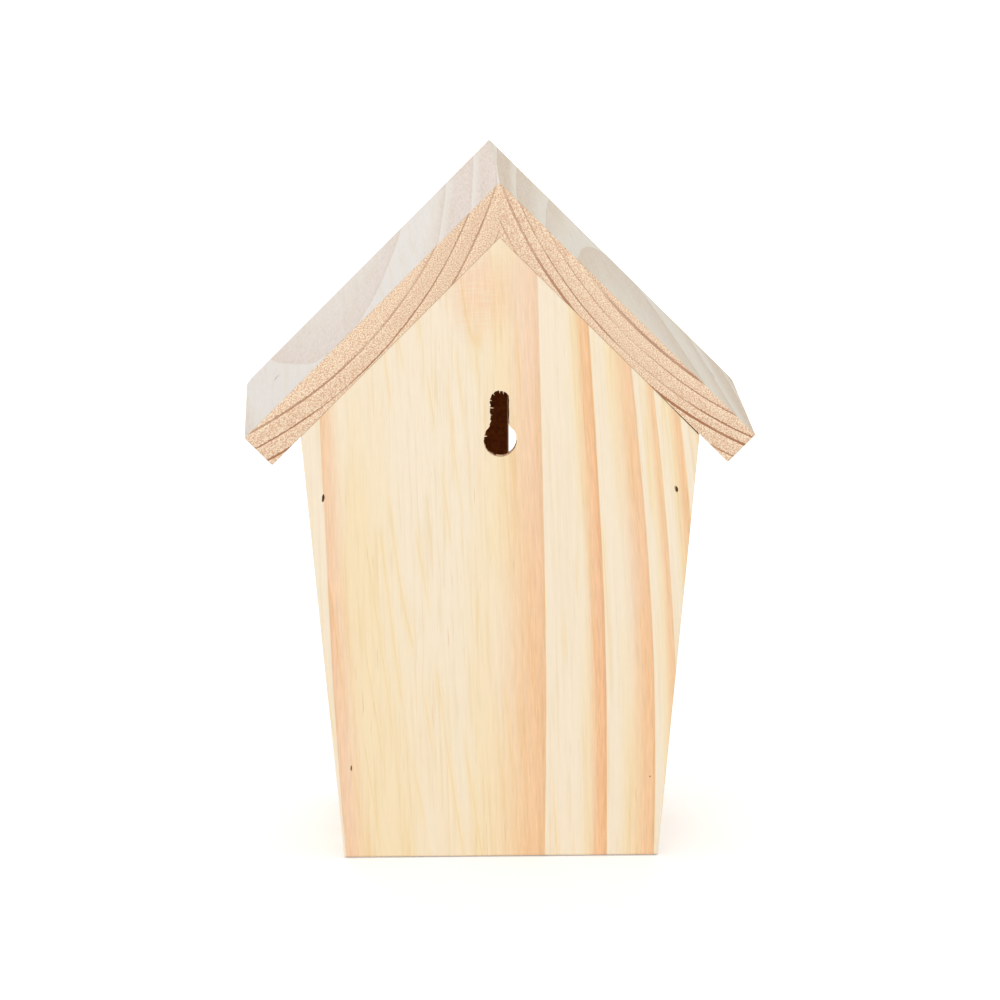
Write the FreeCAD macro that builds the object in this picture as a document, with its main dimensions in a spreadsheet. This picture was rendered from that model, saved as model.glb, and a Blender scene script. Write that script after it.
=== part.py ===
import FreeCAD, Part
import os
import Sketcher

# A small hanging butterfly house of bare planed pine. Two five-sided panels enclose two leaning side
# walls and a floor, and two boards mitred at the ridge make the roof. T-headed brads hold it together.
# Millimetres and degrees. +Z is up, the slotted front faces -Y and the hanging back faces +Y. The origin
# is on the base plane, under the middle of the roof.

SIZES = {
    # Roof: ridge edge above the base, slope, eave edge to eave edge, board, reach past the front panel
    "ridge_height": 210,
    "roof_pitch": 45,
    "roof_width": 157,
    "roof_thickness": 12,
    "front_overhang": 20,
    # Body: outer face to outer face, width at the base, how far the side edges lean out, boards
    "body_depth": 95,
    "base_width": 97,
    "side_lean": 5.5,
    "panel_thickness": 10,
    "wall_thickness": 10,
    "floor_thickness": 10,
    # Keyhole hanger: drop from the panel's apex to the drilled hole, hole, slot, and centre to centre rise
    "keyhole_drop": 62.3,
    "keyhole_diameter": 10,
    "keyhole_slot_width": 6,
    "keyhole_rise": 12,
    # Entry slots: width, centre to centre, sill above the floor, top below the gable edge
    "entry_width": 10,
    "entry_spacing": 20.3,
    "entry_sill": 25,
    "entry_drop": 38,
    # Brads: T-headed strip of flat wire, how deep a head is set, and the room left round it
    "nail_length": 20,
    "nail_width": 1.25,
    "nail_thickness": 1.05,
    "nail_head_width": 2.2,
    "nail_head_height": 0.8,
    "nail_point": 1.8,
    "nail_set": 1,
    "nail_clearance": 0.05,
    # Panel brads: upper ones below the shoulder where side and gable meet, lower ones above the base
    "back_left_upper_drop": 17.2,
    "back_left_lower_height": 24.7,
    "back_right_upper_drop": 19.1,
    "back_right_lower_height": 28,
    "front_upper_drop": 18,
    "front_lower_height": 26,
    # Floor brads from the panels' inner faces; roof brads in from the shoulder and behind the front panel
    "floor_nail_inset": 18,
    "roof_nail_inset": 1.4,
    "roof_nail_setback": 25,
    "roof_nail_set": 0.4,
}

# Places that several pieces share, as formulas on the sheet
SLOPE = "tan(Sizes.roof_pitch)"
LEAN = "tan(Sizes.side_lean)"
HALF_BASE = "Sizes.base_width / 2"
HALF_ROOF = "Sizes.roof_width / 2"
WALL_RUN = "Sizes.wall_thickness / cos(Sizes.side_lean)"
ROOF_DEPTH = "(Sizes.body_depth + Sizes.front_overhang)"
CHAMBER_DEPTH = "(Sizes.body_depth - 2 * Sizes.panel_thickness)"
BACK_FACE = f"{ROOF_DEPTH} / 2"
FRONT_FACE = f"({BACK_FACE} - Sizes.body_depth)"
CHAMBER_MIDDLE = f"({BACK_FACE} - Sizes.body_depth / 2)"
APEX = "(Sizes.ridge_height - Sizes.roof_thickness / cos(Sizes.roof_pitch))"
EAVE = f"(Sizes.ridge_height - {HALF_ROOF} * {SLOPE})"
KEYHOLE = f"({APEX} - Sizes.keyhole_drop)"

doc = FreeCAD.newDocument("butterfly_house")
sheet = doc.addObject("Spreadsheet::Sheet", "Sizes")
for row, (alias, value) in enumerate(SIZES.items(), start=1):
    sheet.set(f"A{row}", alias)
    sheet.set(f"B{row}", str(value))
    sheet.setAlias(f"B{row}", alias)
doc.recompute()


def side_edge(height):
    """X of a panel's side edge, and of a wall's outer face, at a height."""
    return f"({HALF_BASE} + {LEAN} * ({height}))"


def gable_meets(run):
    """Height where the roof's underside meets a line that leans like the sides, run in from them."""
    return f"(({APEX} - ({HALF_BASE} - {run}) * {SLOPE}) / (1 + {LEAN} * {SLOPE}))"


SHOULDER_Z = gable_meets("0")
SHOULDER_X = side_edge(SHOULDER_Z)


def number(formula):
    return float(sheet.evalExpression(formula))


def new_sketch(body, name):
    """A sketch on the body's upright XZ plane, so that a pad of it runs towards -Y."""
    sketch = body.newObject("Sketcher::SketchObject", name)
    plane = next(f for f in body.Origin.OriginFeatures if f.Role == "XZ_Plane")
    sketch.AttachmentSupport = [(plane, "")]
    sketch.MapMode = "FlatFace"
    return sketch


def bind(sketch, constraint, formula):
    index = sketch.addConstraint(constraint)
    sketch.setExpression(f"Constraints[{index}]", formula)


def pin_point(sketch, curve, end, place):
    """Hold one point of a curve at a pair of formulas, measured from the sketch's origin."""
    for kind, formula in zip(("DistanceX", "DistanceY"), place):
        bind(sketch, Sketcher.Constraint(kind, -1, 1, curve, end, number(formula)), formula)


def draw_outline(sketch, corners):
    """A closed outline of straight lines, with every corner held by its formulas."""
    points = [FreeCAD.Vector(number(x), number(z)) for x, z in corners]
    count = len(points)
    for index in range(count):
        sketch.addGeometry(Part.LineSegment(points[index], points[(index + 1) % count]))
    for index, corner in enumerate(corners):
        sketch.addConstraint(Sketcher.Constraint("Coincident", index, 2, (index + 1) % count, 1))
        pin_point(sketch, index, 1, corner)


def draw_slot(sketch, middle, low, high, radius):
    """An upright slot with round ends: low and high are the heights of its ends' centres."""
    x, bottom, top, r = (number(formula) for formula in (middle, low, high, radius))
    turns = {"low": (bottom, 180, 360), "high": (top, 0, 180)}
    arcs = {}
    for end, (height, start, stop) in turns.items():
        circle = Part.Circle(FreeCAD.Vector(x, height), FreeCAD.Vector(0, 0, 1), r)
        angles = [FreeCAD.Units.Quantity(angle, "deg").getValueAs("rad").Value for angle in (start, stop)]
        arcs[end] = sketch.addGeometry(Part.ArcOfCircle(circle, *angles))
    right = sketch.addGeometry(Part.LineSegment(FreeCAD.Vector(x + r, bottom), FreeCAD.Vector(x + r, top)))
    left = sketch.addGeometry(Part.LineSegment(FreeCAD.Vector(x - r, top), FreeCAD.Vector(x - r, bottom)))
    loop = [(arcs["low"], right), (right, arcs["high"]), (arcs["high"], left), (left, arcs["low"])]
    for one, other in loop:
        sketch.addConstraint(Sketcher.Constraint("Tangent", one, 2, other, 1))
    for end, height in (("low", low), ("high", high)):
        bind(sketch, Sketcher.Constraint("Radius", arcs[end], r), radius)
        pin_point(sketch, arcs[end], 3, (middle, height))


def new_board(name, corners, length, symmetric=False):
    """A board sawn to an outline in the XZ plane and as long in Y as it is thick or deep."""
    body = doc.addObject("PartDesign::Body", name)
    sketch = new_sketch(body, f"{name}_outline")
    draw_outline(sketch, corners)
    pad = body.newObject("PartDesign::Pad", f"{name}_pad")
    pad.Profile = sketch
    pad.SideType = "Symmetric" if symmetric else "One side"
    pad.setExpression("Length", length)
    return body


def cut_through(body, sketch, name):
    """Cut a sketch's outlines right through a panel, both ways from its outer face."""
    pocket = body.newObject("PartDesign::Pocket", name)
    pocket.Profile = sketch
    pocket.SideType = "Symmetric"
    pocket.Type = "ThroughAll"
    return pocket


def new_panel(name, outer_y):
    """A five-sided panel whose +Y face is at outer_y."""
    corners = [
        (f"-{HALF_BASE}", "0"),
        (HALF_BASE, "0"),
        (SHOULDER_X, SHOULDER_Z),
        ("0", APEX),
        (f"-{SHOULDER_X}", SHOULDER_Z),
    ]
    body = new_board(name, corners, "Sizes.panel_thickness")
    body.setExpression("Placement.Base.y", outer_y)
    return body


def make_back_panel():
    """The panel that hangs on a wall: a drilled hole for a screw's head, and a slot for its shank."""
    body = new_panel("back_panel_board", BACK_FACE)
    hole = new_sketch(body, "keyhole_hole")
    centre = FreeCAD.Vector(0, number(KEYHOLE))
    circle = Part.Circle(centre, FreeCAD.Vector(0, 0, 1), number("Sizes.keyhole_diameter / 2"))
    curve = hole.addGeometry(circle)
    bind(hole, Sketcher.Constraint("Diameter", curve, 2 * circle.Radius), "Sizes.keyhole_diameter")
    pin_point(hole, curve, 3, ("0", KEYHOLE))
    slot = new_sketch(body, "keyhole_slot")
    draw_slot(slot, "0", KEYHOLE, f"{KEYHOLE} + Sizes.keyhole_rise", "Sizes.keyhole_slot_width / 2")
    cut_through(body, hole, "keyhole_drilling")
    cut_through(body, slot, "keyhole_routing")
    return body


def make_front_panel():
    """The panel with the butterflies' entry slots, two each side of a middle post."""
    body = new_panel("front_panel_board", f"{FRONT_FACE} + Sizes.panel_thickness")
    sketch = new_sketch(body, "entry_slots")
    radius = "Sizes.entry_width / 2"
    low = f"Sizes.floor_thickness + Sizes.entry_sill + {radius}"
    for side in ("-", ""):
        for steps in ("0.5", "1.5"):
            distance = f"{steps} * Sizes.entry_spacing"
            high = f"{APEX} - {distance} * {SLOPE} - Sizes.entry_drop - {radius}"
            draw_slot(sketch, f"{side}{distance}", low, high, radius)
    cut_through(body, sketch, "entry_routing")
    return body


def turn_round(body):
    """Turn a board half round about the upright axis, which makes the left one of a pair."""
    body.Placement.Rotation = FreeCAD.Rotation(FreeCAD.Vector(0, 0, 1), 180)


def make_wall(name):
    """A side wall between the panels, in line with their side edges and bevelled under the roof."""
    inner_z = gable_meets(WALL_RUN)
    corners = [
        (f"{HALF_BASE} - {WALL_RUN}", "0"),
        (HALF_BASE, "0"),
        (SHOULDER_X, SHOULDER_Z),
        (f"{side_edge(inner_z)} - {WALL_RUN}", inner_z),
    ]
    body = new_board(name, corners, CHAMBER_DEPTH, symmetric=True)
    body.setExpression("Placement.Base.y", CHAMBER_MIDDLE)
    return body


def make_floor():
    """The floor, whose ends are bevelled to the walls' lean."""
    low = f"({HALF_BASE} - {WALL_RUN})"
    high = f"({side_edge('Sizes.floor_thickness')} - {WALL_RUN})"
    top = "Sizes.floor_thickness"
    corners = [(f"-{low}", "0"), (low, "0"), (high, top), (f"-{high}", top)]
    body = new_board("floor_board", corners, CHAMBER_DEPTH, symmetric=True)
    body.setExpression("Placement.Base.y", CHAMBER_MIDDLE)
    return body


def make_roof_board(name):
    """A roof board, plumb cut at the ridge for the mitre and square cut at the eave."""
    eave_low_x = f"{HALF_ROOF} - Sizes.roof_thickness * sin(Sizes.roof_pitch)"
    eave_low_z = f"{EAVE} - Sizes.roof_thickness * cos(Sizes.roof_pitch)"
    corners = [("0", APEX), (eave_low_x, eave_low_z), (HALF_ROOF, EAVE), ("0", "Sizes.ridge_height")]
    return new_board(name, corners, ROOF_DEPTH, symmetric=True)


def make_brad():
    """A T-headed brad of flat wire, its head's top at the origin and its point towards -Z."""
    head, shank = "Sizes.nail_head_width / 2", "Sizes.nail_width / 2"
    under, shoulder = "-Sizes.nail_head_height", "Sizes.nail_point - Sizes.nail_length"
    right = [(head, "0"), (head, under), (shank, under), (shank, shoulder)]
    left = [(f"-{x}", z) for x, z in reversed(right)]
    corners = right + [("0", "-Sizes.nail_length")] + left
    return new_board("brad", corners, "Sizes.nail_thickness", symmetric=True)


def make_brad_hole():
    """The room a brad takes up, open above its head for the recess that the nailer leaves."""
    room = "Sizes.nail_clearance"
    head, shank = f"(Sizes.nail_head_width / 2 + {room})", f"(Sizes.nail_width / 2 + {room})"
    under, bottom = f"-(Sizes.nail_head_height + {room})", f"-(Sizes.nail_length + {room})"
    right = [(head, "Sizes.nail_length"), (head, under), (shank, under), (shank, bottom)]
    left = [(f"-{x}", z) for x, z in reversed(right)]
    return new_board("brad_hole", right + left, f"Sizes.nail_thickness + 2 * {room}", symmetric=True)


def facing(head_long, out):
    """A brad's turn: the way its head's long side runs, and the way its head faces."""
    return FreeCAD.Rotation(head_long, out.cross(head_long), out, "ZXY")


UP = FreeCAD.Vector(0, 0, 1)
RIGHT = FreeCAD.Vector(1, 0, 0)
BACK = FreeCAD.Vector(0, 1, 0)


def drive_brads(master, group, places):
    """Link a copy of the master to each place: the middle of its head, its turn, and a tilt if any."""
    copies = []
    for index, (head, turn, tilt) in enumerate(places, start=1):
        copy = doc.addObject("App::Link", f"{group}_{index}")
        copy.LinkedObject = master
        copy.Placement.Rotation = turn
        for axis, formula in zip("xyz", head):
            copy.setExpression(f"Placement.Base.{axis}", formula)
        if tilt:
            copy.setExpression("Placement.Rotation.Angle", tilt)
        copies.append(copy)
    bundle = doc.addObject("Part::Compound", group)
    bundle.Links = copies
    return bundle


def panel_places(face_y, out, heights):
    """Brads through a panel, on the middle line of the wall behind: heights for the left and right."""
    places = []
    for side, pair in zip(("-", ""), heights):
        for z in pair:
            x = f"{side}({side_edge(z)} - {WALL_RUN} / 2)"
            places.append(((x, face_y, z), facing(UP, out), None))
    return places


def back_places():
    left = (f"{SHOULDER_Z} - Sizes.back_left_upper_drop", "Sizes.back_left_lower_height")
    right = (f"{SHOULDER_Z} - Sizes.back_right_upper_drop", "Sizes.back_right_lower_height")
    return panel_places(f"{BACK_FACE} - Sizes.nail_set", BACK, (left, right))


def front_places():
    both = (f"{SHOULDER_Z} - Sizes.front_upper_drop", "Sizes.front_lower_height")
    return panel_places(f"{FRONT_FACE} + Sizes.nail_set", -BACK, (both, both))


def floor_places():
    """Level brads through the walls into the middle of the floor's ends."""
    z = "Sizes.floor_thickness / 2"
    reach = f"({CHAMBER_DEPTH} / 2 - Sizes.floor_nail_inset)"
    places = []
    for side, out in (("-", -RIGHT), ("", RIGHT)):
        for way in ("-", "+"):
            x = f"{side}({side_edge(z)} - Sizes.nail_set)"
            places.append(((x, f"{CHAMBER_MIDDLE} {way} {reach}", z), facing(UP, out), None))
    return places


def roof_places():
    """A brad square to each roof board, into the top of the wall below it."""
    above = "(Sizes.roof_thickness - Sizes.roof_nail_set)"
    along_x = f"({above} * sin(Sizes.roof_pitch) - Sizes.roof_nail_inset * cos(Sizes.roof_pitch))"
    along_z = f"({above} * cos(Sizes.roof_pitch) + Sizes.roof_nail_inset * sin(Sizes.roof_pitch))"
    y = f"{FRONT_FACE} + Sizes.panel_thickness + Sizes.roof_nail_setback"
    places = []
    for side, axis in (("-", -BACK), ("", BACK)):
        head = (f"{side}({SHOULDER_X} + {along_x})", y, f"{SHOULDER_Z} + {along_z}")
        tilted = FreeCAD.Rotation(axis, number("Sizes.roof_pitch"))
        places.append((head, tilted, "Sizes.roof_pitch"))
    return places


def finish_board(label, board, holes):
    """The finished board: its brads' holes are cut out of it."""
    piece = doc.addObject("Part::Cut", label)
    piece.Base = board
    piece.Tool = holes
    return piece


def make_pieces():
    """Every piece of the house, under the name that it is known by."""
    brad, brad_hole = make_brad(), make_brad_hole()
    groups = {
        "back_panel_nails": back_places(),
        "front_panel_nails": front_places(),
        "floor_nails": floor_places(),
        "roof_nails": roof_places(),
    }
    nails = [drive_brads(brad, group, places) for group, places in groups.items()]
    every_place = [place for places in groups.values() for place in places]
    holes = drive_brads(brad_hole, "nail_holes", every_place)

    left_wall, right_wall = make_wall("left_wall_board"), make_wall("right_wall_board")
    left_roof, right_roof = make_roof_board("left_roof"), make_roof_board("right_roof")
    turn_round(left_wall)
    turn_round(left_roof)
    boards = {
        "back_panel": make_back_panel(),
        "front_panel": make_front_panel(),
        "left_wall": left_wall,
        "right_wall": right_wall,
        "floor": make_floor(),
        "left_roof_board": left_roof,
        "right_roof_board": right_roof,
    }
    return [finish_board(label, board, holes) for label, board in boards.items()] + nails


def check_document(pieces):
    """Stop if anything failed, a cut removed nothing, or a piece isn't the sound solid it should be."""
    for item in doc.Objects:
        if {"Invalid", "Error"} & set(item.State):
            raise RuntimeError(f"{item.Label} failed")
        if item.TypeId == "PartDesign::Pocket" and item.Shape.Volume >= item.BaseFeature.Shape.Volume:
            raise RuntimeError(f"{item.Label} cut nothing")
        if item.TypeId == "Part::Cut" and item.Shape.Volume >= item.Base.Shape.Volume:
            raise RuntimeError(f"{item.Label} has no nail holes")
    for piece in pieces:
        if piece.Shape.isNull() or not piece.Shape.isValid():
            raise RuntimeError(f"{piece.Label} has no sound shape")
        wanted = len(piece.Links) if piece.TypeId == "Part::Compound" else 1
        if len(piece.Shape.Solids) != wanted:
            raise RuntimeError(f"{piece.Label} has {len(piece.Shape.Solids)} solids, not {wanted}")


def write_pieces(pieces):
    os.makedirs("parts", exist_ok=True)
    for piece in pieces:
        piece.Shape.exportStep(f"parts/{piece.Label}.step")
        box = piece.Shape.BoundBox
        print(f"{piece.Label}: {box.XLength:.1f} x {box.YLength:.1f} x {box.ZLength:.1f} mm")


house = make_pieces()
doc.recompute()
check_document(house)
write_pieces(house)
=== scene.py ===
# A hanging butterfly house of bare planed pine, seen from its back: a five-sided panel with a keyhole,
# side walls that lean out, a floor, a slotted front and a roof of two mitred boards, all nailed.
# Metres, in the house's own frame: +Z up, front towards -Y, back towards +Y.
import math
import random

import bmesh
import bpy
from mathutils import Matrix, Vector


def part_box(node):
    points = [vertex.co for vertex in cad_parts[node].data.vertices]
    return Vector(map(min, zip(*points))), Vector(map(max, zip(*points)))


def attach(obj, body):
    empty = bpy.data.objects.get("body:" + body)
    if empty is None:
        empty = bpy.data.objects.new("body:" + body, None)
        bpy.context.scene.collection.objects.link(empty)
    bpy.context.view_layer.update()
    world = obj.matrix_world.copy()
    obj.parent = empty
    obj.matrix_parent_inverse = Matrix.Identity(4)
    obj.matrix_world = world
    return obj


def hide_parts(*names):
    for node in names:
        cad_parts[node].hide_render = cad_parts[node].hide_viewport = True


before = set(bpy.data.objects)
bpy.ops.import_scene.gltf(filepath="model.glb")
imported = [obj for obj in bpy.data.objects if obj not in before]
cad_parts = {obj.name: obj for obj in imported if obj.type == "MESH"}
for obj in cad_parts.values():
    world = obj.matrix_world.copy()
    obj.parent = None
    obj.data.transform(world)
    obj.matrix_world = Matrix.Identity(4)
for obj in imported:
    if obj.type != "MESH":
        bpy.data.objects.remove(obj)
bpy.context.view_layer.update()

# Back panel
# A flat-sawn pine board, planed and sawn to a gable whose sides lean out. A drilled hole and a routed
# slot above it make the keyhole that it hangs by, and four brads hold it to the side walls' ends.
MM = 0.001
ARRIS = 0.2 * MM
SHARP = math.radians(30)
WELD = 0.001 * MM
BASE_HALF = 48.5 * MM
panel_low, panel_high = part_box("back_panel")
APEX = panel_high.z
SHOULDER = Vector((panel_high.x, 0, APEX - panel_high.x))
BACK_FACE = panel_high.y


def verts_in(made):
    return [item for item in made if isinstance(item, bmesh.types.BMVert)]


def draw_out(shape, faces, depth):
    """Draw faces out along Y, which makes them solid."""
    grown = bmesh.ops.extrude_face_region(shape, geom=faces)
    bmesh.ops.translate(shape, verts=verts_in(grown["geom"]), vec=(0, depth, 0))


def sawn_board(corners, near, far, arris=ARRIS, joint=None, worn=()):
    """A board with one outline, given in X and Z, from y = near to y = far, its arrises rubbed off.
    Where it meets its pair, at x = joint, they stay sharp. Each edge in worn is rounded more: it is
    given by its middle and its radius."""
    board = bmesh.new()
    face = board.faces.new([board.verts.new((x, near, z)) for x, z in corners])
    draw_out(board, [face], far - near)
    bmesh.ops.recalc_face_normals(board, faces=board.faces)
    for middle, radius in worn:
        spot = Vector(middle)
        edge = min(board.edges, key=lambda e: ((e.verts[0].co + e.verts[1].co) / 2 - spot).length)
        bmesh.ops.bevel(
            board, geom=[edge], offset=radius, affect="EDGES", segments=5, profile=0.5,
            material=-1, clamp_overlap=True,
        )
    rubbed = [e for e in board.edges if e.calc_face_angle(0) > SHARP]
    if joint is not None:
        rubbed = [e for e in rubbed if any(abs(v.co.x - joint) > arris for v in e.verts)]
    bmesh.ops.bevel(
        board, geom=rubbed, offset=arris, affect="EDGES", segments=2, profile=0.5,
        material=-1, clamp_overlap=True,
    )
    return board


def new_object(shape, name):
    mesh = bpy.data.meshes.new(name)
    bmesh.ops.recalc_face_normals(shape, faces=shape.faces)
    shape.to_mesh(mesh)
    shape.free()
    thing = bpy.data.objects.new(name, mesh)
    bpy.context.scene.collection.objects.link(thing)
    return thing


def cut_away(piece, cutter):
    """Cut a shape out of a piece, and keep what is left as its own mesh, with slivers welded shut."""
    tool = new_object(cutter, "cutter")
    cut = piece.modifiers.new("cut", "BOOLEAN")
    cut.operation = "DIFFERENCE"
    cut.solver = "EXACT"
    cut.use_self = True
    cut.object = tool
    whole = piece.data
    piece.data = bpy.data.meshes.new_from_object(piece.evaluated_get(bpy.context.evaluated_depsgraph_get()))
    piece.modifiers.clear()
    bpy.data.objects.remove(tool)
    bpy.data.meshes.remove(whole)
    left = bmesh.new()
    left.from_mesh(piece.data)
    bmesh.ops.remove_doubles(left, verts=left.verts, dist=WELD)
    bmesh.ops.dissolve_degenerate(left, edges=left.edges, dist=WELD)
    left.to_mesh(piece.data)
    left.free()


def fit(piece, node, material):
    """Put a piece in a CAD node's place."""
    piece.data.materials.clear()
    piece.data.materials.append(material)
    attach(piece, "root")
    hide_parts(node)


def round_slot(cutter, centre, rise, stations, segments=32):
    """A slot with round ends through a panel: stations are the depths in y and the radius at each."""
    loops = []
    turn = Matrix.Rotation(math.radians(90), 4, "X") @ Matrix.Rotation(math.pi / segments, 4, "Z")
    for y, radius in stations:
        spot = Matrix.Translation((centre[0], y, centre[1])) @ turn
        made = bmesh.ops.create_circle(cutter, segments=segments, radius=radius, matrix=spot)
        upper = [v for v in made["verts"] if v.co.z > centre[1]]
        bmesh.ops.translate(cutter, verts=upper, vec=(0, 0, rise))
        loops.append(list({edge for v in made["verts"] for edge in v.link_edges}))
    for one, other in zip(loops, loops[1:]):
        bmesh.ops.bridge_loops(cutter, edges=one + other)
    for end in (loops[0], loops[-1]):
        bmesh.ops.edgeloop_fill(cutter, edges=end)


def brad_mouth(cutter, spot, width, height, lean, depth, seed):
    """The torn slit that a brad's head leaves: spot turns its long side to Z and its depth to -Y."""
    chance = random.Random(seed)
    made = bmesh.ops.create_cone(
        cutter, cap_ends=True, segments=12, radius1=0.5, radius2=0.4, depth=2 * depth,
        matrix=spot @ Matrix.Rotation(math.radians(90), 4, "X"),
    )
    inverse = spot.inverted()
    for v in made["verts"]:
        local = inverse @ v.co
        local.x = local.x * width * chance.uniform(0.75, 1.2) + lean * local.z * height
        local.z = local.z * height * chance.uniform(0.85, 1.1)
        v.co = spot @ local


KEYHOLE_Z = APEX - 62.3 * MM
KEYHOLE_RADIUS = 5 * MM
SLOT_HALF = 3 * MM
SLOT_TOP = KEYHOLE_Z + 12 * MM
PAST = 2 * MM
GAP_FROM = 45 * MM
GAP = 0.45 * MM
FOOT_WEAR = 0.6 * MM


def keyhole_shape():
    """The drilled hole and the slot above it, as one outline whose edges the cutter left torn."""
    shape = bmesh.new()
    y = BACK_FACE + PAST
    neck = math.sqrt(KEYHOLE_RADIUS**2 - SLOT_HALF**2)
    turn = 2 * math.pi - 2 * math.asin(SLOT_HALF / KEYHOLE_RADIUS)
    right = shape.verts.new((-SLOT_HALF, y, KEYHOLE_Z + neck))
    bored = bmesh.ops.spin(
        shape, geom=[right], cent=(0, y, KEYHOLE_Z), axis=(0, 1, 0), angle=-turn, steps=44
    )
    left = verts_in(bored["geom_last"])[0]
    top = shape.verts.new((-SLOT_HALF, y, SLOT_TOP))
    routed = bmesh.ops.spin(
        shape, geom=[top], cent=(0, y, SLOT_TOP), axis=(0, 1, 0), angle=math.pi, steps=18
    )
    far_top = verts_in(routed["geom_last"])[0]
    sides = [shape.edges.new((right, top)), shape.edges.new((left, far_top))]
    bmesh.ops.subdivide_edges(shape, edges=sides, cuts=16)
    chance = random.Random(4)
    for v in shape.verts:
        inward = Vector((0, y, min(max(v.co.z, KEYHOLE_Z), SLOT_TOP))) - v.co
        torn = chance.uniform(-0.3, 0.12) if v.co.x > 0 else chance.uniform(-0.05, 0.05)
        clean = 0.25 if v.co.x < -0.9 * SLOT_HALF and v.co.z > KEYHOLE_Z + SLOT_HALF else 0.0
        v.co += inward.normalized() * (torn + clean) * MM
    outline = bmesh.ops.edgeloop_fill(shape, edges=shape.edges[:])["faces"]
    draw_out(shape, outline, panel_low.y - BACK_FACE - 2 * PAST)
    return shape


def splinter(shape, root, tip, thick):
    """A torn fibre that tapers from its root in the wood to its tip."""
    along = tip - root
    turn = along.to_track_quat("Z", "Y").to_matrix().to_4x4()
    bmesh.ops.create_cone(
        shape, cap_ends=True, segments=5, radius1=thick / 2, radius2=thick / 12, depth=along.length,
        matrix=Matrix.Translation((root + tip) / 2) @ turn,
    )


back_panel = new_object(
    sawn_board(
        [
            (-BASE_HALF, 0), (BASE_HALF, 0), (SHOULDER.x, SHOULDER.z), (0, APEX),
            (-GAP_FROM, APEX - GAP_FROM), (-SHOULDER.x, SHOULDER.z - GAP),
        ],
        panel_low.y, panel_high.y, worn=[((0, BACK_FACE, 0), FOOT_WEAR)],
    ),
    "back_panel_pine",
)
cut_away(back_panel, keyhole_shape())
RIM = 0.5 * MM
BREAKOUT_REACH = 7 * MM
breakout = bmesh.new()
for near, far, small, large, drop in (
    (BACK_FACE - RIM, BACK_FACE + 0.2 * MM, -0.3, 0.25, 0.35),
    (BACK_FACE - 3 * RIM, panel_low.y - RIM, -0.1, 1.6, 0.0),
):
    middle = (0, (near + far) / 2, KEYHOLE_Z - drop * MM)
    bmesh.ops.create_cone(
        breakout, cap_ends=True, segments=48, depth=abs(far - near),
        radius1=KEYHOLE_RADIUS + small * MM, radius2=KEYHOLE_RADIUS + large * MM,
        matrix=Matrix.Translation(middle) @ Matrix.Rotation(math.copysign(math.pi / 2, near - far), 4, "X"),
    )
cut_away(back_panel, breakout)

MOUTH_DEPTH = 1.6 * MM
BACK_MOUTHS = (
    (54.4, 112.8, 0.9, 2.9, -0.10),
    (46.3, 28.1, 0.5, 2.1, 0.0),
    (-54.1, 114.8, 1.15, 2.4, 0.25),
    (-46.1, 24.8, 0.5, 0.45, 0.0),
)
mouths = bmesh.new()
for seed, (x, z, width, height, lean) in enumerate(BACK_MOUTHS):
    spot = Matrix.Translation((x * MM, BACK_FACE, z * MM))
    brad_mouth(mouths, spot, width * MM, height * MM, lean, MOUTH_DEPTH, seed)
cut_away(back_panel, mouths)

SPLINTERS = (
    (3.3, 9.8, -1.3, -0.1, 0.5),
    (0.1, 15.4, 0.1, -1.1, 0.45),
    (-0.9, 15.1, -0.1, -1.2, 0.4),
    (4.9, 0.9, -0.9, 0.1, 0.5),
    (-3.4, 4.3, 1.2, 0.5, 0.5),
    (3.2, 12.2, -0.7, -0.3, 0.35),
    (3.2, 7.4, -0.7, 0.2, 0.4),
    (3.3, 5.6, -0.6, 0.3, 0.35),
    (2.2, 14.2, -0.5, -0.5, 0.4),
)
fibres_left = bmesh.new()
fibres_left.from_mesh(back_panel.data)
for x, z, run, rise, thick in SPLINTERS:
    root = Vector((x * MM, BACK_FACE - 0.2 * MM, KEYHOLE_Z + z * MM))
    splinter(fibres_left, root, root + Vector((run * MM, 0.4 * MM, rise * MM)), thick * MM)
fibres_left.to_mesh(back_panel.data)
fibres_left.free()


def place(tree, kind, inputs=(), **settings):
    """Add a shader node. Each input is a value, or the socket that feeds it."""
    node = tree.nodes.new(kind)
    for name, value in settings.items():
        setattr(node, name, value)
    for key, value in dict(inputs).items():
        if isinstance(value, bpy.types.NodeSocket):
            tree.links.new(value, node.inputs[key])
        else:
            node.inputs[key].default_value = value
    return node


def reckon(tree, operation, a, b=0.0, use_clamp=False):
    return place(tree, "ShaderNodeMath", {0: a, 1: b}, operation=operation, use_clamp=use_clamp).outputs[0]


def spread(tree, value, low, high, to_low=0.0, to_high=1.0):
    """A value from low to high, taken smoothly to another range."""
    inputs = {"Value": value, "From Min": low, "From Max": high, "To Min": to_low, "To Max": to_high}
    return place(tree, "ShaderNodeMapRange", inputs, interpolation_type="SMOOTHSTEP").outputs[0]


def blend(tree, share, one, other, way="MIX"):
    inputs = {0: share, 6: one, 7: other}
    return place(tree, "ShaderNodeMix", inputs, data_type="RGBA", blend_type=way).outputs[2]


def fibres(tree, log, seed, scale, detail=2.0):
    """Noise drawn out along the grain: scale is its features per millimetre across, across and along."""
    drawn = place(tree, "ShaderNodeVectorMath", {0: log, 1: scale}, operation="MULTIPLY")
    inputs = {"Vector": drawn.outputs[0], "W": seed, "Scale": 1.0, "Detail": detail, "Roughness": 0.6}
    return place(tree, "ShaderNodeTexNoise", inputs, noise_dimensions="4D").outputs[0]


def new_group(name, inputs, outputs):
    tree = bpy.data.node_groups.new(name, "ShaderNodeTree")
    for way, sockets in (("INPUT", inputs), ("OUTPUT", outputs)):
        for socket, kind in sockets.items():
            tree.interface.new_socket(socket, in_out=way, socket_type=f"NodeSocket{kind}")
    return tree, place(tree, "NodeGroupInput").outputs


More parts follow.
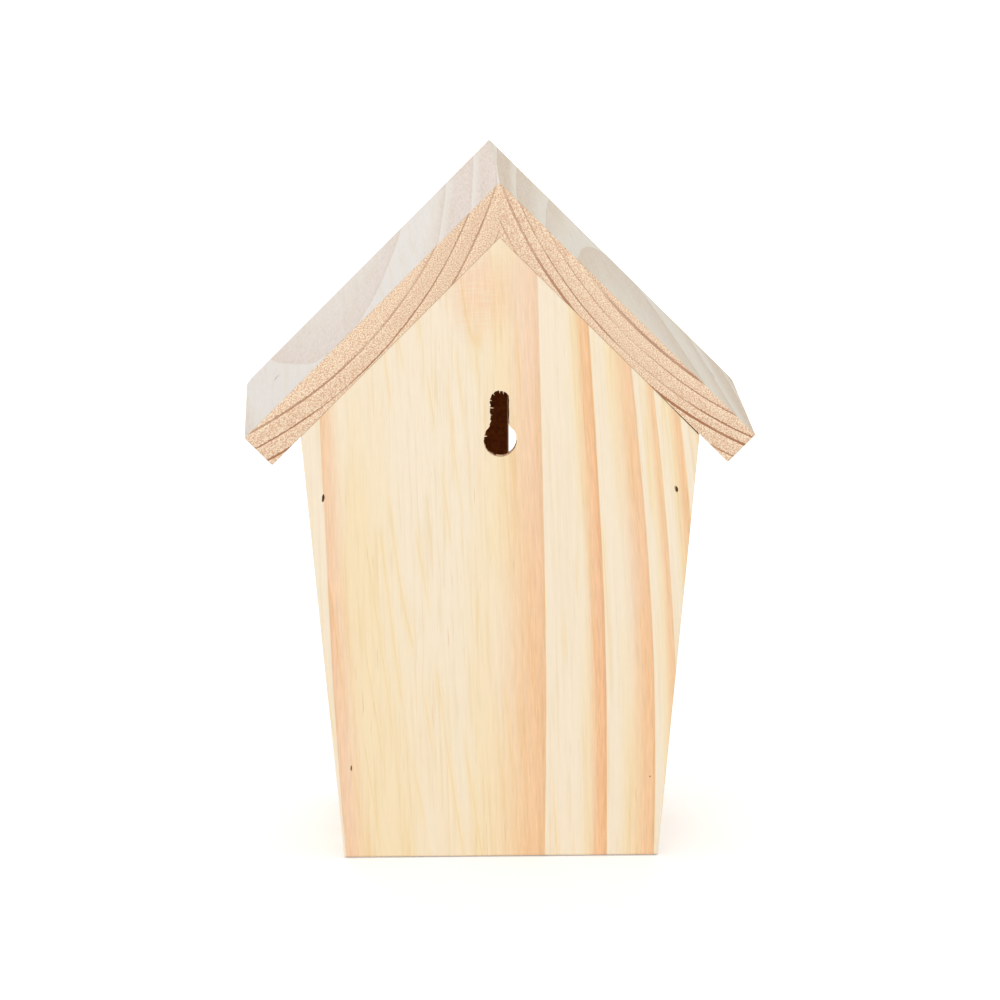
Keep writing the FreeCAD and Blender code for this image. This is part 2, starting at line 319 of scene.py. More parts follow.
def make_pine_figure():
    """How pine is marked, from a point in its log in millimetres, the log's pith along Z. The fine marks
    follow the growth rings: they are drawn over the way round the pith, the ring's radius and the height,
    and Girth is the radius at which the way round is measured. The veins lean by Slant, as spiral grain
    does, but not on the log's far side."""
    tree, given = new_group(
        "pine figure",
        {
            "Log": "Vector", "Wander": "Float", "Crowd": "Float", "Bulge": "Float", "Girth": "Float",
            "Slant": "Float", "Seed": "Float", "Pore Scale": "Vector", "Swirl At": "Vector",
            "Swirl Size": "Vector",
        },
        {mark: "Float" for mark in ("Radius", *FIGURE_MARKS)},
    )
    log, seed = given["Log"], given["Seed"]
    flat = place(tree, "ShaderNodeVectorMath", {0: log, 1: (1, 1, 0)}, operation="MULTIPLY")
    radius = place(tree, "ShaderNodeVectorMath", {0: flat.outputs[0]}, operation="LENGTH").outputs["Value"]
    apart = place(tree, "ShaderNodeSeparateXYZ", {0: log}).outputs
    side = reckon(tree, "DIVIDE", apart["X"], radius)
    height = reckon(tree, "MULTIPLY", apart["Z"], 0.01)
    squeeze = reckon(tree, "ADD", given["Crowd"], reckon(tree, "MULTIPLY", given["Bulge"], height))
    squeeze = reckon(tree, "MULTIPLY", squeeze, height)
    beyond = reckon(tree, "SUBTRACT", radius, HEART)
    radius = reckon(tree, "ADD", radius, reckon(tree, "MULTIPLY", beyond, squeeze))
    round_it = reckon(tree, "MULTIPLY", reckon(tree, "ARCTAN2", apart["X"], apart["Y"]), given["Girth"])
    bent = place(tree, "ShaderNodeCombineXYZ", {0: round_it, 1: radius, 2: apart["Z"]}).outputs[0]
    slow = reckon(tree, "SUBTRACT", fibres(tree, bent, seed, (0.03, 0.03, 0.008), 1.0), 0.5)
    quick = reckon(tree, "SUBTRACT", fibres(tree, bent, seed, (0.35, 0.35, 0.03), 2.0), 0.5)
    wavy = reckon(tree, "ADD", reckon(tree, "MULTIPLY", slow, 3.0), reckon(tree, "MULTIPLY", quick, 0.8))
    radius = reckon(tree, "ADD", radius, reckon(tree, "MULTIPLY", wavy, given["Wander"]))
    cloud = fibres(tree, bent, seed, (0.06, 0.06, 0.008), 1.0)
    dash = spread(tree, fibres(tree, bent, seed, (1.6, 1.6, 0.045), 1.0), 0.68, 0.75)
    thread = reckon(tree, "MULTIPLY", fibres(tree, bent, seed, (0.05, 0.05, 0.003), 1.0), 2.0)
    across = reckon(tree, "ADD", apart["X"], reckon(tree, "MULTIPLY", apart["Y"], 0.37))
    slant = reckon(tree, "MULTIPLY", given["Slant"], spread(tree, side, -0.75, -0.35))
    across = reckon(tree, "ADD", across, reckon(tree, "MULTIPLY", apart["Z"], slant))
    thread = reckon(tree, "ADD", thread, reckon(tree, "MULTIPLY", across, VEINS))
    thread = reckon(tree, "ABSOLUTE", reckon(tree, "SUBTRACT", reckon(tree, "FRACT", thread), 0.5))
    thread = reckon(tree, "DIVIDE", thread, VEINS)
    lasting = spread(tree, fibres(tree, bent, seed, (0.1, 0.1, 0.02), 1.0), 0.45, 0.6)
    away = place(tree, "ShaderNodeVectorMath", {0: log, 1: given["Swirl At"]}, operation="SUBTRACT")
    inputs = {0: away.outputs[0], 1: given["Swirl Size"]}
    away = place(tree, "ShaderNodeVectorMath", inputs, operation="MULTIPLY")
    away = place(tree, "ShaderNodeVectorMath", {0: away.outputs[0]}, operation="LENGTH").outputs["Value"]
    ripple = fibres(tree, log, seed, (0.15, 0.15, 1.1), 1.0)
    swirl = reckon(tree, "MULTIPLY", spread(tree, away, 1.0, 0.2), spread(tree, ripple, 0.3, 0.6, 0.6, 1.0))
    place(
        tree, "NodeGroupOutput",
        {
            "Radius": radius,
            "Side": side,
            "Height": height,
            "Fibre": fibres(tree, bent, seed, (2.0, 2.0, 0.13), 2.0),
            "Streak": fibres(tree, bent, seed, (0.8, 0.8, 0.008), 2.0),
            "Cloud": spread(tree, cloud, 0.3, 0.6),
            "Vein": reckon(tree, "MULTIPLY", spread(tree, thread, 0.35, 0.0, 0.0, 0.5), lasting),
            "Halo": reckon(tree, "MULTIPLY", spread(tree, thread, 1.8, 0.2), lasting),
            "Dash": reckon(tree, "MULTIPLY", dash, spread(tree, cloud, 0.4, 0.6)),
            "Swirl": swirl,
            "Fade": fibres(tree, bent, seed, (0.035, 0.15, 0.02), 1.0),
            "Pores": fibres(tree, log, seed, given["Pore Scale"], 2.0),
        },
    )
    return tree


def shade(tree, colour, value, gain):
    """A colour made lighter or darker by a value about one half."""
    change = reckon(tree, "MULTIPLY", reckon(tree, "SUBTRACT", value, 0.5), gain)
    level = reckon(tree, "ADD", change, 1.0)
    grey = place(tree, "ShaderNodeCombineColor", {0: level, 1: level, 2: level}).outputs[0]
    return blend(tree, 1.0, colour, grey, "MULTIPLY")


def make_pine_tint():
    """Pine's colour, roughness and relief from its marks. Ends is 1 on end grain and 0 along the grain.
    Latewood is paler up and down the log from its middle, by Pale Away. Its lines on end grain are fainter
    to one side of Faint At, by Faint, and stronger to the other."""
    colours = ("Early", "Late", "Rim", "Honey", "Gold", "Resin", "End Pale", "End Pore", "End Late")
    marks = (
        "Through", "Late From", "Late Full", "Depth", "Line From", "Lop", "Pale Away", "Faint", "Faint At",
        "Ends",
    )
    tree, given = new_group(
        "pine tint",
        {**{mark: "Float" for mark in (*marks, *FIGURE_MARKS)}, **{colour: "Color" for colour in colours}},
        {"Color": "Color", "Roughness": "Float", "Height": "Float"},
    )
    one_side = reckon(tree, "MULTIPLY", given["Lop"], reckon(tree, "MAXIMUM", given["Side"], 0.0))
    way = reckon(tree, "POWER", given["Through"], reckon(tree, "ADD", one_side, 1.0))
    band = spread(tree, way, given["Late From"], given["Late Full"])
    from_middle = reckon(tree, "ABSOLUTE", given["Height"])
    paler = reckon(tree, "SUBTRACT", 1.0, reckon(tree, "MULTIPLY", given["Pale Away"], from_middle))
    depth = reckon(tree, "MULTIPLY", given["Depth"], paler)
    late = reckon(tree, "MULTIPLY", band, depth)
    streaky = reckon(tree, "MULTIPLY", reckon(tree, "SUBTRACT", given["Streak"], 0.5), 0.14)
    late = reckon(tree, "ADD", late, streaky)
    late = reckon(tree, "ADD", late, reckon(tree, "MULTIPLY", given["Swirl"], 0.45), use_clamp=True)
    face = blend(tree, late, given["Early"], given["Late"])
    rim = reckon(tree, "MULTIPLY", spread(tree, way, 0.93, 0.98), depth)
    face = blend(tree, rim, face, blend(tree, 1.0, face, given["Rim"], "MULTIPLY"))
    before = reckon(tree, "SUBTRACT", given["Late From"], 0.16)
    honey = spread(tree, given["Through"], before, reckon(tree, "ADD", given["Late From"], 0.06))
    honey = reckon(tree, "MULTIPLY", honey, given["Cloud"])
    honey = reckon(tree, "ADD", honey, reckon(tree, "MULTIPLY", given["Halo"], 0.6), use_clamp=True)
    face = blend(tree, honey, face, blend(tree, 1.0, face, given["Honey"], "MULTIPLY"))
    gold = reckon(tree, "MULTIPLY", spread(tree, given["Streak"], 0.48, 0.74), 0.5)
    gold = reckon(tree, "MULTIPLY", gold, spread(tree, given["Cloud"], 0.0, 1.0, 0.2, 1.0))
    gold = reckon(tree, "MAXIMUM", gold, given["Vein"])
    face = blend(tree, gold, face, blend(tree, 1.0, face, given["Gold"], "MULTIPLY"))
    face = shade(tree, face, given["Fibre"], reckon(tree, "ADD", 0.1, reckon(tree, "MULTIPLY", late, 0.4)))
    face = shade(tree, face, given["Streak"], -0.06)
    face = blend(tree, reckon(tree, "MULTIPLY", given["Dash"], 0.4), face, given["Resin"])
    rough = reckon(tree, "MULTIPLY", reckon(tree, "SUBTRACT", given["Pores"], 0.5), 0.14)
    line = reckon(tree, "ADD", given["Through"], rough)
    line = spread(tree, line, given["Line From"], reckon(tree, "ADD", given["Line From"], 0.06))
    strong = reckon(tree, "SUBTRACT", given["Side"], given["Faint At"])
    strong = reckon(tree, "ADD", 1.0, reckon(tree, "MULTIPLY", given["Faint"], strong))
    strong = reckon(tree, "MULTIPLY", strong, spread(tree, given["Fade"], 0.35, 0.6, 0.4, 1.1))
    line = reckon(tree, "MULTIPLY", line, reckon(tree, "MULTIPLY", strong, given["Depth"]), use_clamp=True)
    line = reckon(tree, "MAXIMUM", line, reckon(tree, "MULTIPLY", band, 0.1))
    end = blend(tree, spread(tree, given["Pores"], 0.4, 0.62), given["End Pale"], given["End Pore"])
    end = blend(tree, line, end, given["End Late"])
    relief = reckon(tree, "MULTIPLY", given["Fibre"], 0.6)
    relief = reckon(tree, "ADD", relief, reckon(tree, "MULTIPLY", late, 0.4))
    pitted = reckon(tree, "MULTIPLY", given["Pores"], given["Ends"])
    place(
        tree, "NodeGroupOutput",
        {
            "Color": blend(tree, given["Ends"], face, end),
            "Roughness": spread(tree, given["Fibre"], 0.2, 0.8, 0.66, 0.54),
            "Height": reckon(tree, "ADD", relief, reckon(tree, "MULTIPLY", pitted, 0.5)),
        },
    )
    return tree


HEART = 35
VEINS = 0.2
FIGURE_MARKS = (
    "Side", "Height", "Fibre", "Streak", "Cloud", "Vein", "Halo", "Dash", "Swirl", "Fade", "Pores",
)
pine_figure = make_pine_figure()
pine_tint = make_pine_tint()


def growth_rings(tree, radius, heart, rings, tint):
    """Feed a tint with how far through its growth ring a point is, and with that ring's latewood: where
    it starts, where it is full, how deep it is and where its line on end grain starts. Rings are listed
    outwards, each by its outer radius."""
    last = rings[-1][0]
    inputs = {"Value": radius, "From Min": heart, "From Max": last}
    along = place(tree, "ShaderNodeMapRange", inputs).outputs[0]
    through = place(tree, "ShaderNodeValToRGB", {"Fac": along})
    latewood = place(tree, "ShaderNodeValToRGB", {"Fac": along})
    latewood.color_ramp.interpolation = "CONSTANT"
    latewood.color_ramp.elements[0].color = rings[0][1:]
    latewood.color_ramp.elements[1].color = rings[-1][1:]
    for ring, outer in zip(rings, rings[1:]):
        edge = (ring[0] - heart) / (last - heart)
        for step, share in ((-0.001, 1), (0.001, 0)):
            through.color_ramp.elements.new(edge + step).color = (share, share, share, 1)
        latewood.color_ramp.elements.new(edge).color = outer[1:]
    tree.links.new(through.outputs["Color"], tint.inputs["Through"])
    parts = place(tree, "ShaderNodeSeparateColor", {0: latewood.outputs["Color"]}).outputs
    for part, mark in zip(parts, ("Late From", "Late Full", "Depth")):
        tree.links.new(part, tint.inputs[mark])
    tree.links.new(latewood.outputs["Alpha"], tint.inputs["Line From"])


def srgb(red, green, blue):
    """A colour as it looks on the screen, from 0 to 255, as the linear values that a shader takes."""
    channels = (channel / 255 for channel in (red, green, blue))
    return tuple(c / 12.92 if c < 0.04045 else ((c + 0.055) / 1.055) ** 2.4 for c in channels) + (1,)


def new_material(name):
    """A material, its nodes and its shader."""
    material = bpy.data.materials.new(name)
    material.use_nodes = True
    tree = material.node_tree
    return material, tree, tree.nodes["Principled BSDF"]


def pine(name, pith, axis, heart, rings, colours, marks):
    """Bare pine from a log whose pith passes a point, in millimetres, along an axis."""
    material, tree, shader = new_material(name)
    where = place(tree, "ShaderNodeTexCoord")
    axis = Vector(axis).normalized()
    log = place(
        tree, "ShaderNodeMapping",
        {
            "Vector": where.outputs["Object"],
            "Location": Vector(pith) * MM,
            "Rotation": Vector((0, 0, 1)).rotation_difference(axis).to_euler(),
            "Scale": (MM, MM, MM),
        },
        vector_type="TEXTURE",
    )
    figure = place(tree, "ShaderNodeGroup", node_tree=pine_figure)
    tint = place(tree, "ShaderNodeGroup", node_tree=pine_tint)
    tree.links.new(log.outputs[0], figure.inputs["Log"])
    values = {**PLAIN_PINE, **colours, **marks}
    for group in (figure, tint):
        for socket in group.inputs:
            socket.default_value = values.get(socket.name, socket.default_value)
    facing = place(
        tree, "ShaderNodeVectorMath", {0: where.outputs["Normal"], 1: axis}, operation="DOT_PRODUCT"
    ).outputs["Value"]
    tree.links.new(spread(tree, reckon(tree, "ABSOLUTE", facing), 0.5, 0.8), tint.inputs["Ends"])
    growth_rings(tree, figure.outputs["Radius"], heart, rings, tint)
    for mark in FIGURE_MARKS:
        tree.links.new(figure.outputs[mark], tint.inputs[mark])
    tree.links.new(tint.outputs["Color"], shader.inputs["Base Color"])
    tree.links.new(tint.outputs["Roughness"], shader.inputs["Roughness"])
    inputs = {"Strength": 0.35, "Distance": 0.1 * MM, "Height": tint.outputs["Height"]}
    bump = place(tree, "ShaderNodeBump", inputs)
    tree.links.new(bump.outputs[0], shader.inputs["Normal"])
    return material


PLAIN_PINE = {
    "Wander": 1.0, "Girth": 40.0, "Slant": 0.02, "Pore Scale": (1.5, 1.5, 0.3),
    "Swirl At": (0, 0, 500), "Swirl Size": (0.05, 0.05, 0.05),
}
BODY_PINE = {
    "Early": srgb(249, 233, 207),
    "Late": srgb(245, 192, 150),
    "Rim": srgb(247, 244, 240),
    "Honey": srgb(255, 249, 232),
    "Gold": srgb(248, 235, 202),
    "Resin": srgb(214, 170, 112),
    "End Pale": srgb(247, 222, 190),
    "End Pore": srgb(222, 184, 146),
    "End Late": srgb(190, 146, 108),
}
BACK_RINGS = (
    (44.58, 0.62, 0.93, 0.68, 0.9),
    (59.81, 0.62, 0.90, 0.93, 0.9),
    (72.61, 0.36, 0.90, 0.75, 0.9),
    (78.79, 0.45, 0.85, 0.62, 0.9),
    (86.19, 0.45, 0.85, 0.70, 0.9),
    (94.00, 0.50, 0.90, 0.80, 0.9),
)
fit(
    back_panel, "back_panel",
    pine(
        "back_panel_pine", (18.99, 27.5, 60), (0.03085, 0.03691, 1), 14, BACK_RINGS, BODY_PINE,
        {
            "Wander": 0.45, "Crowd": 0.053, "Bulge": 0.12, "Girth": 35.0, "Slant": -0.1, "Lop": 1.6,
            "Pale Away": 0.2, "Seed": 1.0,
            "Swirl At": (-16, 26, 117), "Swirl Size": (0.07, 0.02, 0.05),
        },
    ),
)


def mottle(tree, scale):
    where = place(tree, "ShaderNodeTexCoord").outputs["Object"]
    return place(tree, "ShaderNodeTexNoise", {"Vector": where, "Scale": scale, "Detail": 3.0}).outputs[0]


def bare(name, colour, darker):
    """Plain wood in a flat darker colour with only its pores to see, used for painted shade in hollows."""
    material, tree, shader = new_material(name)
    shader.inputs["Roughness"].default_value = 0.85
    pores = spread(tree, mottle(tree, 900.0), 0.35, 0.65)
    tree.links.new(blend(tree, pores, colour, darker), shader.inputs["Base Color"])
    return material


# Painted shade: the keyhole's inner walls take a dark brown for the shade inside the hole, and the slope of
# its lower rim a tan for the shade under its lower edge.
back_panel.data.materials.append(bare("painted_shade_keyhole_pine", srgb(120, 66, 28), srgb(84, 42, 16)))
back_panel.data.materials.append(bare("painted_shade_rim_pine", srgb(214, 172, 134), srgb(190, 146, 108)))
for face in back_panel.data.polygons:
    middle = face.center
    level = KEYHOLE_Z - BREAKOUT_REACH < middle.z < SLOT_TOP + SLOT_HALF + RIM
    inside = abs(middle.x) < BREAKOUT_REACH and level
    if inside and abs(face.normal.y) < 0.5 and middle.y < BACK_FACE - 2 * RIM:
        face.material_index = 1
    elif inside and 0.3 < face.normal.y < 0.95 and middle.z < KEYHOLE_Z:
        face.material_index = 2

# Side walls
# Two narrower boards of the same pine between the panels, leaning out with the panels' side edges.
# Their tops are bevelled to lie under the roof, and a pair of brads runs through each into the floor.
LEAN = math.radians(5.5)
WALL_RUN = 10 * MM / math.cos(LEAN)
FLOOR_MIDDLE = 5 * MM
FLOOR_BRAD_INSET = 18 * MM
MOUTH_WIDTH = 0.8 * MM
MOUTH_HEIGHT = 2.3 * MM
MOUTH_LEAN = 0.1
wall_low, wall_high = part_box("right_wall")
inner_top = (APEX - (BASE_HALF - WALL_RUN)) / (1 + math.tan(LEAN))
EVEN_RING = (0.55, 0.93, 0.75, 0.88)
WALL_RINGS = [(edge, *EVEN_RING) for edge in (33, 42, 49, 57, 66, 76)]
for side, name in ((1, "right_wall"), (-1, "left_wall")):
    corners = [
        (side * (BASE_HALF - WALL_RUN), 0),
        (side * BASE_HALF, 0),
        (side * SHOULDER.x, SHOULDER.z),
        (side * (BASE_HALF - WALL_RUN + inner_top * math.tan(LEAN)), inner_top),
    ]
    wall = new_object(sawn_board(corners, wall_low.y, wall_high.y), f"{name}_pine")
    mouths = bmesh.new()
    for seed, y in enumerate((wall_low.y + FLOOR_BRAD_INSET, wall_high.y - FLOOR_BRAD_INSET)):
        x = side * (BASE_HALF + FLOOR_MIDDLE * math.tan(LEAN))
        turn = Matrix.Rotation(-side * math.pi / 2, 4, "Z")
        spot = Matrix.Translation((x, y, FLOOR_MIDDLE)) @ turn
        brad_mouth(mouths, spot, MOUTH_WIDTH, MOUTH_HEIGHT, MOUTH_LEAN, MOUTH_DEPTH, seed + 10)
    cut_away(wall, mouths)
    fit(
        wall, name,
        pine(
            f"{name}_pine", (side * 92, 10 + 20 * side, 60), (side * 0.096, 0.004, 1), 20, WALL_RINGS,
            BODY_PINE, {"Seed": 5.0 + side},
        ),
    )

# Floor
# A short board between the walls and the panels, its ends bevelled to the walls' lean.
# It is glued there, and the brads through the walls hold its ends.
floor_low, floor_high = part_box("floor")
bottom_half = BASE_HALF - WALL_RUN
floor_board = new_object(
    sawn_board(
        [(-bottom_half, 0), (bottom_half, 0), (floor_high.x, floor_high.z), (-floor_high.x, floor_high.z)],
        floor_low.y, floor_high.y,
    ),
    "floor_pine",
)
FLOOR_RINGS = [*WALL_RINGS, (85, *EVEN_RING)]
fit(
    floor_board, "floor",
    pine("floor_pine", (0, 30, -45), (1, 0.02, 0.01), 20, FLOOR_RINGS, BODY_PINE, {"Seed": 9.0}),
)

# Front panel
# The same five-sided outline as the back, with four upright entry slots routed through it, two each
# side of a middle post. Their mouths are sanded round, and four brads hold it to the walls' ends.
front_low, front_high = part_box("front_panel")
front_panel = new_object(
    sawn_board(
        [(-BASE_HALF, 0), (BASE_HALF, 0), (SHOULDER.x, SHOULDER.z), (0, APEX), (-SHOULDER.x, SHOULDER.z)],
        front_low.y, front_high.y,
    ),
    "front_panel_pine",
)
ENTRY_RADIUS = 5 * MM
ENTRY_SPACING = 20.3 * MM
ENTRY_LOW = 40 * MM
ENTRY_DROP = 38 * MM
EASING = 0.5 * MM
entries = bmesh.new()
for step in (-1.5, -0.5, 0.5, 1.5):
    x = step * ENTRY_SPACING
    top = APEX - abs(x) - ENTRY_DROP - ENTRY_RADIUS
    stations = [
        (front_low.y - PAST, ENTRY_RADIUS + EASING + PAST),
        (front_low.y + EASING, ENTRY_RADIUS),
        (front_high.y - EASING, ENTRY_RADIUS),
        (front_high.y + PAST, ENTRY_RADIUS + EASING + PAST),
    ]
    round_slot(entries, (x, ENTRY_LOW), top - ENTRY_LOW, stations)
cut_away(front_panel, entries)
mouths = bmesh.new()
BRADS_UP = (SHOULDER.z - 18 * MM, 26 * MM)
for seed, (side, z) in enumerate((side, z) for side in (1, -1) for z in BRADS_UP):
    x = side * (BASE_HALF + z * math.tan(LEAN) - WALL_RUN / 2)
    spot = Matrix.Translation((x, front_low.y, z)) @ Matrix.Rotation(math.pi, 4, "Z")
    brad_mouth(mouths, spot, MOUTH_WIDTH, MOUTH_HEIGHT, MOUTH_LEAN, MOUTH_DEPTH, seed + 20)
cut_away(front_panel, mouths)
FRONT_RINGS = [(edge, *EVEN_RING) for edge in (40, 51, 61, 69, 76, 84, 93)]
fit(
    front_panel, "front_panel",
    pine(
        "front_panel_pine", (-14, -65, 60), (-0.02, 0.03, 1), 14, FRONT_RINGS, BODY_PINE,
        {"Seed": 3.0, "Wander": 0.6},
    ),
)

# Painted shade: the front panel's inner face, which shows only through the keyhole, is a dark orange-brown
# for the shade inside the box.
front_panel.data.materials.append(bare("painted_shade_inner_face_pine", srgb(172, 96, 40), srgb(150, 78, 28)))
for face in front_panel.data.polygons:
    if face.normal.y > 0.9:
        face.material_index = 1

# Brads
# T-headed strip brads of flat steel wire, shot below the surface so that only a slit shows.
# They keep the shape that they have in the frame and get a dull steel finish in dark brown, which paints
# the shade down their slits onto their heads.


def brad_steel():
    material, tree, shader = new_material("brad_steel")
    shader.inputs["Metallic"].default_value = 0.9
    cloud = mottle(tree, 1500.0)
    # Painted shade: dark brown steel for the shade down the slits above the brads' heads.
    tree.links.new(blend(tree, cloud, srgb(58, 40, 24), srgb(90, 66, 42)), shader.inputs["Base Color"])
    tree.links.new(spread(tree, cloud, 0.3, 0.7, 0.35, 0.55), shader.inputs["Roughness"])
    return material


steel = brad_steel()
for group in ("back_panel_nails", "front_panel_nails", "floor_nails", "roof_nails"):
    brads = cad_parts[group]
    brads.data.materials.clear()
    brads.data.materials.append(steel)

# Roof boards
# Two thicker pine boards with the grain from front to back, plumb cut and mitred at the ridge, square
# cut at the eaves. A brad through each goes into the top of the side wall below it.
roof_low, roof_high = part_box("right_roof_board")
nail_low, nail_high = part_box("roof_nails")
NAIL_HEAD_HALF = 1.1 * MM
NAIL_SET = 0.4 * MM
SLIT_WIDTH = 1.0 * MM
SLIT_LENGTH = 4.2 * MM
SLIT_LEAN = 0.5
ROOF_ARRIS = 0.3 * MM
FRONT_CORNER = 4.5 * MM
BACK_CORNER = 0.9 * MM
RIDGE = roof_high.z
EAVE_X = roof_high.x
EAVE_Z = RIDGE - EAVE_X
SLOPE = math.radians(45)
THICK_RUN = 12 * MM * math.sin(SLOPE)
ROOF_PINE = {
    "Rim": srgb(250, 248, 245),
    "Honey": srgb(254, 251, 246),
    "Gold": srgb(250, 246, 236),
    "Resin": srgb(206, 188, 164),
    "End Pale": srgb(255, 236, 206),
    "End Pore": srgb(220, 168, 131),
    "End Late": srgb(168, 112, 74),
}
# Painted sheen: the roof tops' Early and Late are paler and greyer than the body's pine, the boards' own
# tone with the glancing reflection of the white surround painted over it.
RIGHT_ROOF_PINE_AND_SHEEN = {**ROOF_PINE, "Early": srgb(236, 228, 219), "Late": srgb(228, 211, 199)}
LEFT_ROOF_PINE_AND_SHEEN = {**ROOF_PINE, "Early": srgb(236, 227, 211), "Late": srgb(220, 200, 177)}
RIGHT_ROOF_RINGS = (
    (126.9, 0.3, 0.9, 0.7, 0.85), (133.4, 0.7, 1.0, 0.7, 0.86), (138.4, 0.0, 0.4, 1.0, 0.87),
    (143.4, 0.0, 0.4, 1.0, 0.84), (149.0, 0.1, 0.6, 1.0, 0.9), (155.0, 0.1, 0.6, 1.0, 0.9),
)
LEFT_ROOF_RINGS = (
    (136.1, 0.4, 0.95, 0.65, 0.8), (139.6, 0.4, 0.95, 0.65, 0.86), (143.6, 0.1, 0.6, 0.8, 0.84),
    (146.8, 0.05, 0.5, 0.95, 0.72), (151.4, 0.05, 0.5, 0.9, 0.84), (157.0, 0.05, 0.5, 0.9, 0.9),
)
HATCHED = (2.4, 3.2, 0.3)
SPECKLED = (3.0, 3.0, 0.3)
# Each board's log: its pith at the back, in millimetres down the slope and above it, how that drifts
# down and climbs towards the back, and the radius that its rings are counted from.
ROOF_LOGS = {
    "right_roof_board": (68.0, 126.8, -0.0174, 0.03, 121, RIGHT_ROOF_RINGS, RIGHT_ROOF_PINE_AND_SHEEN, HATCHED),
    "left_roof_board": (61.3, 133.3, 0.026, -0.024, 131, LEFT_ROOF_RINGS, LEFT_ROOF_PINE_AND_SHEEN, SPECKLED),
}
painted_shade_slit_pine = bare("painted_shade_slit_pine", srgb(160, 147, 131), srgb(130, 118, 104))
for side, name in ((1, "right_roof_board"), (-1, "left_roof_board")):
    corners = [
        (0, APEX),
        (side * (EAVE_X - THICK_RUN), EAVE_Z - THICK_RUN),
        (side * EAVE_X, EAVE_Z),
        (0, RIDGE),
    ]
    eave = Vector((side * (EAVE_X - THICK_RUN / 2), 0, EAVE_Z - THICK_RUN / 2))
    worn = [
        (eave + Vector((0, roof_low.y, 0)), FRONT_CORNER),
        (eave + Vector((0, roof_high.y, 0)), BACK_CORNER),
    ]
    shape = sawn_board(corners, roof_low.y, roof_high.y, ROOF_ARRIS, 0, worn)
    board = new_object(shape, f"{name}_pine")
    mouths = bmesh.new()
    slit_x = nail_high.x - (NAIL_HEAD_HALF - NAIL_SET) * math.sin(SLOPE)
    slit = Vector((side * slit_x, (nail_low.y + nail_high.y) / 2, RIDGE - slit_x))
    lie = Matrix.Rotation(side * SLOPE, 4, "Y") @ Matrix.Rotation(math.pi / 2, 4, "X")
    spot = Matrix.Translation(slit) @ lie
    brad_mouth(mouths, spot, SLIT_WIDTH, SLIT_LENGTH, -side * SLIT_LEAN, MOUTH_DEPTH, 30 + side)
    cut_away(board, mouths)
    down, above, drift, climb, heart, rings, colours, pores = ROOF_LOGS[name]
    outward = Vector((side * math.sin(SLOPE), 0, math.cos(SLOPE)))
    downward = Vector((side * math.cos(SLOPE), 0, -math.sin(SLOPE)))
    pith = Vector((0, roof_high.y, RIDGE)) / MM + downward * down + outward * above
    axis = Vector((0, 1, 0)) + downward * drift + outward * climb
    fit(
        board, name,
        pine(
            f"{name}_pine", pith, axis, heart, rings, colours,
            {
                "Wander": 0.25, "Girth": 130.0, "Faint": side * 1.6, "Faint At": -side * math.sin(SLOPE),
                "Seed": 12.0 + side, "Pore Scale": pores,
            },
        ),
    )
    # Painted shade: the faces down inside each roof slit take a grey-brown for the shade in the slit.
    board.data.materials.append(painted_shade_slit_pine)
    for face in board.data.polygons:
        deep = (face.center - slit).dot(outward) < -0.1 * MM
        if deep and (face.center - slit).length < SLIT_LENGTH:
            face.material_index = 1

# Stage, light and camera
# A wide pale floor that keeps the house's shadow, an even white surround, a soft lamp beside the camera,
# a weak one overhead and one before the front, and the camera a little above, looking at the back.


def seen_directly(tree):
    """1 where the camera sees a thing itself, or sees it in metal or through glass, and 0 for its light."""
    path = place(tree, "ShaderNodeLightPath").outputs
    seen = reckon(tree, "MAXIMUM", path["Is Camera Ray"], path["Is Glossy Ray"])
    return reckon(tree, "MAXIMUM", seen, path["Is Transmission Ray"])


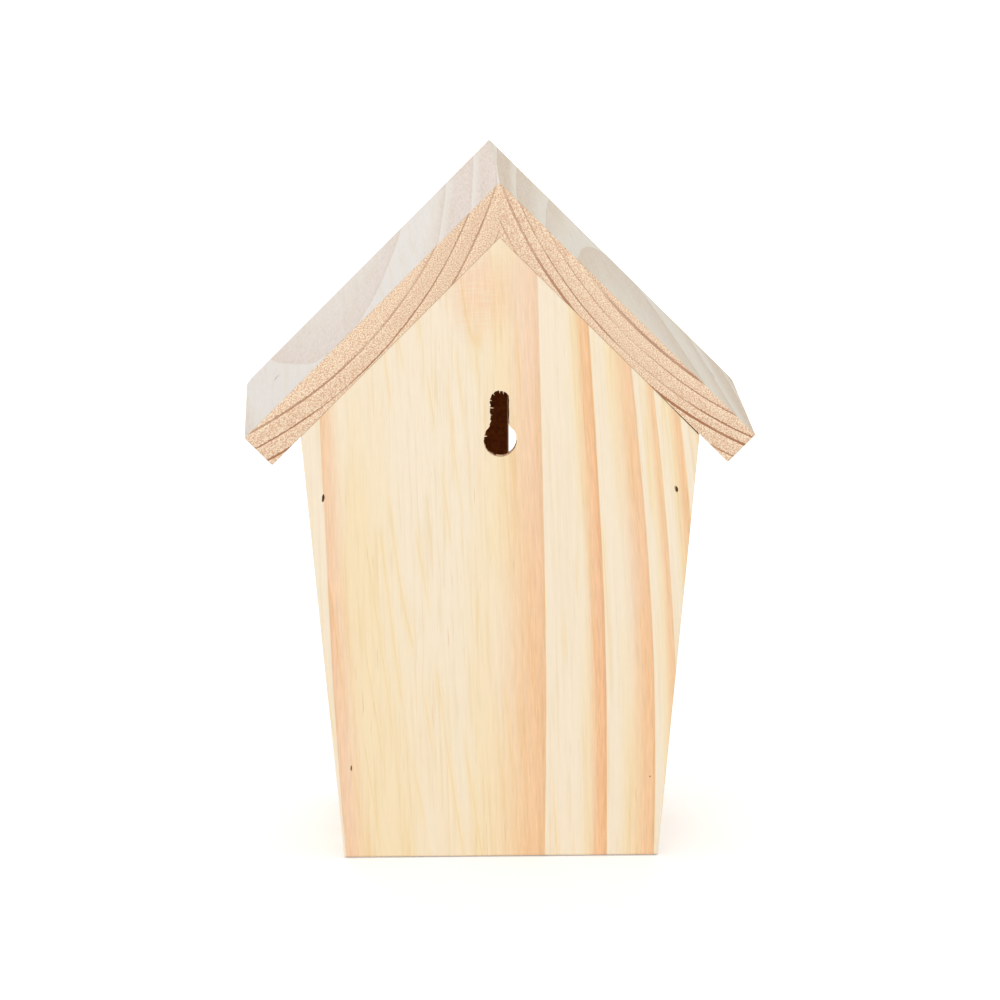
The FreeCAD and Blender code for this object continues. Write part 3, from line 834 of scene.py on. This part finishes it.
def floor_paint():
    """White paint, lifted to plain white where it is seen directly, and less so near the house, where the
    lamps are strongest, so that the house's shadow stays."""
    material, tree, shader = new_material("stage_white")
    shader.inputs["Base Color"].default_value = (0.92, 0.92, 0.92, 1)
    shader.inputs["Roughness"].default_value = 0.9
    shader.inputs["Emission Color"].default_value = (1, 1, 1, 1)
    where = place(tree, "ShaderNodeTexCoord").outputs["Object"]
    away = place(tree, "ShaderNodeVectorMath", {0: where}, operation="LENGTH").outputs["Value"]
    lift = spread(tree, away, 0.2, 1.2, 0.32, 0.52)
    glow = reckon(tree, "MULTIPLY", seen_directly(tree), lift)
    tree.links.new(glow, shader.inputs["Emission Strength"])
    return material


stage = bmesh.new()
just_under = Matrix.Translation((0, 0, -0.3 * MM))
bmesh.ops.create_grid(stage, x_segments=1, y_segments=1, size=6, matrix=just_under)
stage = new_object(stage, "stage_floor")
stage.data.materials.append(floor_paint())

EVEN_LIGHT = 0.58
world = bpy.data.worlds.new("even_white")
bpy.context.scene.world = world
world.use_nodes = True
surround = world.node_tree
background = surround.nodes["Background"]
background.inputs["Color"].default_value = (1, 1, 1, 1)
lifted = reckon(surround, "MULTIPLY", seen_directly(surround), 1 - EVEN_LIGHT)
surround.links.new(reckon(surround, "ADD", lifted, EVEN_LIGHT), background.inputs["Strength"])


def soft_lamp(name, spot, size, power):
    lamp = bpy.data.lights.new(name, "AREA")
    lamp.shape = "SQUARE"
    lamp.size = size
    lamp.energy = power
    holder = bpy.data.objects.new(name, lamp)
    bpy.context.scene.collection.objects.link(holder)
    holder.location = spot
    holder.rotation_euler = (Vector((0, 0, 0.1)) - Vector(spot)).to_track_quat("-Z", "Y").to_euler()


soft_lamp("key_lamp", (0.25, 2.3, 0.75), 1.4, 18.0)
soft_lamp("top_lamp", (0.1, 0.2, 1.9), 1.2, 2.5)
soft_lamp("front_lamp", (0.1, -1.9, 0.9), 1.4, 12.0)

CAMERA_PLACE = (0.0614, 2.1614, 0.4660)
CAMERA_TURN = (80.4484, 0.1385, 178.3087)
lens = bpy.data.cameras.new("camera")
lens.sensor_width = 36
lens.lens = 250.21
camera = bpy.data.objects.new("camera", lens)
bpy.context.scene.collection.objects.link(camera)
camera.location = CAMERA_PLACE
camera.rotation_euler = [math.radians(angle) for angle in CAMERA_TURN]
bpy.context.scene.camera = camera
bpy.context.scene.view_settings.view_transform = "Standard"
